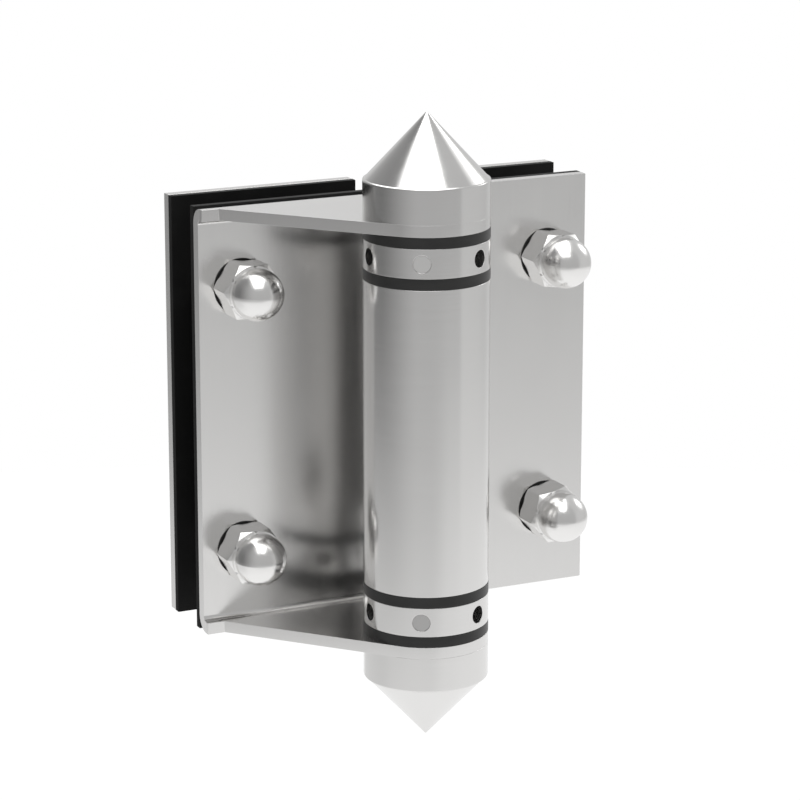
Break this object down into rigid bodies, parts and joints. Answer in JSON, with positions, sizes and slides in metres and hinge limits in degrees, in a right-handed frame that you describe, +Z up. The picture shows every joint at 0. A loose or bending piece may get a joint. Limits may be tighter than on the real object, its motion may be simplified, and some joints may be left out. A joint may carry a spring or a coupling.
{
  "type": "glass to glass hinge",
  "caption": "Self-closing glass to glass gate hinge: folded ear bracket, spring barrel with pointed caps, tension collars, clamping plates with rubber gaskets and acorn nuts.",
  "frame": {"origin": "on the glass-side face of the fixed leaf's front gasket, straight behind the barrel's axis, level with the barrel's middle", "axes": "+X across the hinge from the fixed leaf to the gate leaf, -Y towards the barrel and the acorn nuts, +Y through the glass to the back plates, +Z up along the barrel"},
  "size_m": [0.1035, 0.0688, 0.1526],
  "materials": {
    "leaf_steel": "satin stainless sheet, fine vertical grain",
    "barrel_steel": "satin turned stainless",
    "cap_steel": "turned stainless, fine rings round the cone",
    "collar_steel": "satin turned stainless",
    "nut_steel": "polished stainless",
    "bolt_steel": "plain stainless",
    "pin_steel": "dull ground steel",
    "spring_wire": "drawn stainless spring wire",
    "gasket_rubber": "matt black sheet rubber",
    "bearing_plastic": "black bearing plastic, slight sheen",
    "washer_plastic": "thin black washer"
  },
  "bodies": {
    "fixed_leaf": {"fixed_bracket": "leaf_steel", "fixed_front_gasket": "gasket_rubber", "fixed_back_gasket": "gasket_rubber", "fixed_back_plate": "leaf_steel", "fixed_clamp_bolts": "bolt_steel", "fixed_nut_washers": "washer_plastic", "fixed_acorn_nuts": "nut_steel", "top_cap": "cap_steel", "bottom_cap": "cap_steel", "top_spindle": "bolt_steel", "bottom_spindle": "bolt_steel", "top_ear_washer": "bearing_plastic", "bottom_ear_washer": "bearing_plastic"},
    "gate_leaf": {"gate_plate": "leaf_steel", "gate_front_gasket": "gasket_rubber", "gate_back_gasket": "gasket_rubber", "gate_back_plate": "leaf_steel", "gate_clamp_bolts": "bolt_steel", "gate_nut_washers": "washer_plastic", "gate_acorn_nuts": "nut_steel", "barrel_tube": "barrel_steel", "barrel_plug": "bolt_steel", "top_bush": "bearing_plastic", "bottom_bush": "bearing_plastic", "top_spring": "spring_wire", "bottom_spring": "spring_wire"},
    "top_adjuster": {"top_collar": "collar_steel", "top_lock_pin": "pin_steel"},
    "bottom_adjuster": {"bottom_collar": "collar_steel", "bottom_lock_pin": "pin_steel"}
  },
  "joints": [
    {"name": "gate_swing", "type": "hinge", "parent": "fixed_leaf", "child": "gate_leaf", "pos_m": [0, -0.0327, 0], "axis": [0, 0, -1], "range_deg": [0, 120], "stiffness_Nm_per_rad": 0.71, "springref_deg": -45, "deforming": ["top_spring", "bottom_spring"]},
    {"name": "top_collar_turn", "type": "hinge", "parent": "fixed_leaf", "child": "top_adjuster", "pos_m": [0, -0.0327, 0], "axis": [0, 0, 1], "range_deg": [-60, 120]},
    {"name": "bottom_collar_turn", "type": "hinge", "parent": "fixed_leaf", "child": "bottom_adjuster", "pos_m": [0, -0.0327, 0], "axis": [0, 0, 1], "range_deg": [-60, 120]}
  ]
}
